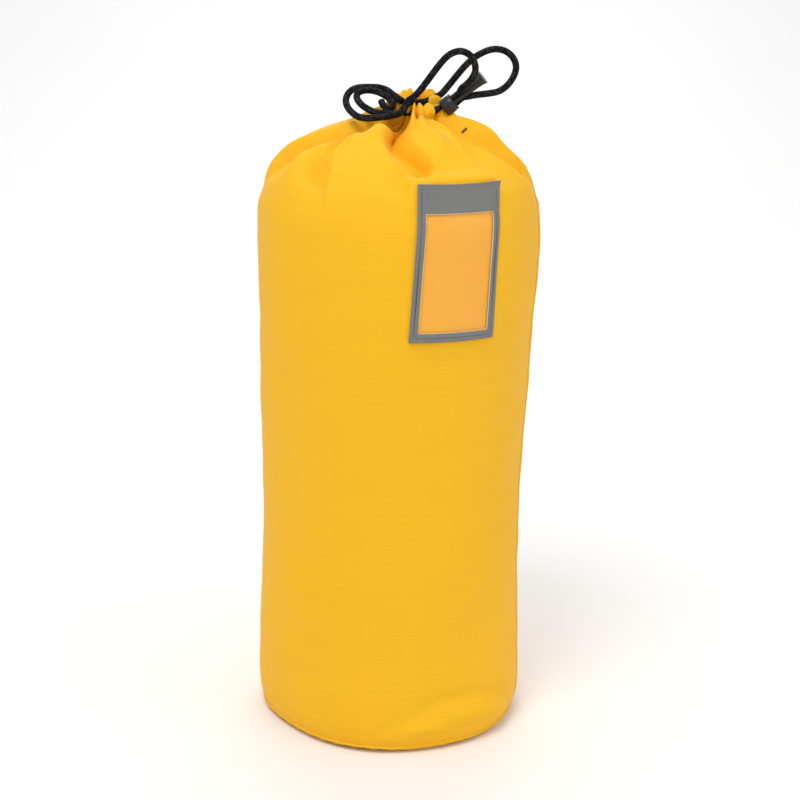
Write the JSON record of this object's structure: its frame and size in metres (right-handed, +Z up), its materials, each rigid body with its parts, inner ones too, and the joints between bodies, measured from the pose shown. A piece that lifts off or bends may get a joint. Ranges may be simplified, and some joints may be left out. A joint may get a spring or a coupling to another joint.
{
  "type": "throw rope bag",
  "caption": "Tall round drawstring bag in woven nylon, standing on its base, with a packed throwing line, a cord lock on the drawcord tails and a clear label pocket.",
  "frame": {"origin": "middle of the bag's footprint, on the surface that it stands on", "axes": "+Z up along the bag's long axis; -Y is the front, with the label pocket; +X is the side seam's side"},
  "size_m": [0.2038, 0.2041, 0.496],
  "materials": {
    "yellow_nylon": "plain woven nylon, slight sheen",
    "yellow_binding": "woven binding",
    "black_cord": "braided polyester cord",
    "black_plastic": "moulded acetal, satin",
    "black_wedge_plastic": "moulded acetal, satin",
    "grey_vinyl": "soft vinyl, fine grain",
    "clear_window": "clear flexible vinyl",
    "dark_thread": "bonded sewing thread",
    "closed_cell_foam": "closed-cell foam",
    "floating_line": "braided polypropylene line"
  },
  "bodies": {
    "bag": {"body_panel": "yellow_nylon", "base_panel": "yellow_nylon", "base_seam_binding": "yellow_binding", "side_seam": "yellow_nylon", "hem_channel": "yellow_nylon", "drawcord_in_hem": "black_cord", "drawcord_tail_a": "black_cord", "drawcord_tail_b": "black_cord", "drawcord_coil": "black_cord", "label_back": "grey_vinyl", "label_window": "clear_window", "label_frame": "grey_vinyl", "label_stitching": "dark_thread", "bar_tack_left": "dark_thread", "bar_tack_right": "dark_thread", "bar_tack_side": "dark_thread", "flotation_disc": "closed_cell_foam", "packed_throw_line": "floating_line"},
    "lock_barrel": {"cord_lock_barrel": "black_plastic"},
    "lock_wedge": {"cord_lock_wedge": "black_wedge_plastic"}
  },
  "joints": [
    {"name": "lock_slide", "type": "slide", "parent": "bag", "child": "lock_barrel", "axis": [0.7619, -0.03, 0.647], "range_m": [0, 0.005]},
    {"name": "wedge_slide", "type": "slide", "parent": "lock_barrel", "child": "lock_wedge", "axis": [0.7619, -0.03, 0.647], "range_m": [0, 0.012]}
  ]
}
